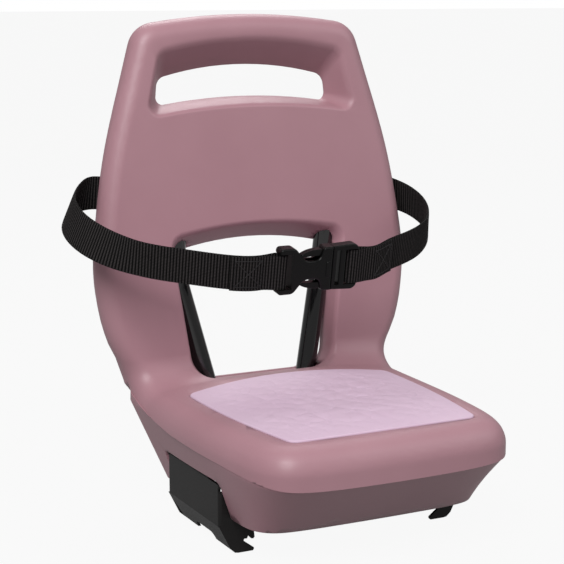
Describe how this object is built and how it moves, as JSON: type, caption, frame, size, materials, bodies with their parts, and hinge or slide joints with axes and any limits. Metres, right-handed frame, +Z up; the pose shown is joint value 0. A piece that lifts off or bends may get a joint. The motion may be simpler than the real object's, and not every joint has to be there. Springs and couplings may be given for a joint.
{
  "type": "child bicycle seat",
  "caption": "Rear-carrier child bicycle seat: moulded shell with hand slot, soft pad, bent tube frame, steel claw jaws drawn in by a screw, and a hip belt with side-release buckle.",
  "frame": {"origin": "middle between the claws, at the level of the top of the carrier's rails", "axes": "+X to the child's left, -Y the way the child faces, +Z up"},
  "size_m": [0.3448, 0.3015, 0.4279],
  "materials": {
    "shell_plastic": "dusty mauve moulded plastic, satin",
    "pad_foam": "lilac soft foam skin",
    "black_tube": "gloss black enamel",
    "black_steel": "satin black powder coat",
    "black_plastic": "satin black moulded plastic",
    "zinc_steel": "zinc plated",
    "webbing": "black ribbed webbing"
  },
  "bodies": {
    "seat": {"seat_shell": "shell_plastic", "base_tray": "shell_plastic", "back_cover": "shell_plastic", "seat_pad": "pad_foam", "frame_tube": "black_tube", "tube_plugs": "black_plastic", "tube_saddles": "zinc_steel", "saddle_screws": "zinc_steel", "bearing_screws": "zinc_steel", "cover_screws": "zinc_steel", "tray_screws": "zinc_steel", "cross_channel": "zinc_steel", "spindle_bearing": "black_plastic", "belt_anchor_bars": "zinc_steel", "belt_webbing_right": "webbing", "buckle_socket": "black_plastic", "belt_webbing_left": "webbing"},
    "right_jaw_body": {"right_jaw": "black_steel", "right_jaw_nut": "zinc_steel"},
    "left_jaw_body": {"left_jaw": "black_steel", "left_jaw_nut": "zinc_steel"},
    "spindle_body": {"clamp_spindle": "zinc_steel", "spindle_rings": "zinc_steel", "clamp_knob": "black_plastic"},
    "plug_body": {"buckle_plug": "black_plastic"}
  },
  "joints": [
    {"name": "spindle_turn", "type": "hinge", "parent": "seat", "child": "spindle_body", "pos_m": [0, 0, 0.036], "axis": [1, 0, 0], "range_deg": [0, 1800.5]},
    {"name": "right_jaw_slide", "type": "slide", "parent": "seat", "child": "right_jaw_body", "axis": [1, 0, 0], "range_m": [0, 0.025]},
    {"name": "left_jaw_slide", "type": "slide", "parent": "seat", "child": "left_jaw_body", "axis": [-1, 0, 0], "range_m": [0, 0.025]},
    {"name": "plug_pull", "type": "slide", "parent": "seat", "child": "plug_body", "axis": [1, 0, 0], "range_m": [0, 0.03], "deforming": ["belt_webbing_left"]}
  ],
  "couplings": [
    {"joint": "left_jaw_slide", "follows": "right_jaw_slide", "ratio": 1},
    {"joint": "spindle_turn", "follows": "right_jaw_slide", "rad_per_m": 1256.6}
  ]
}
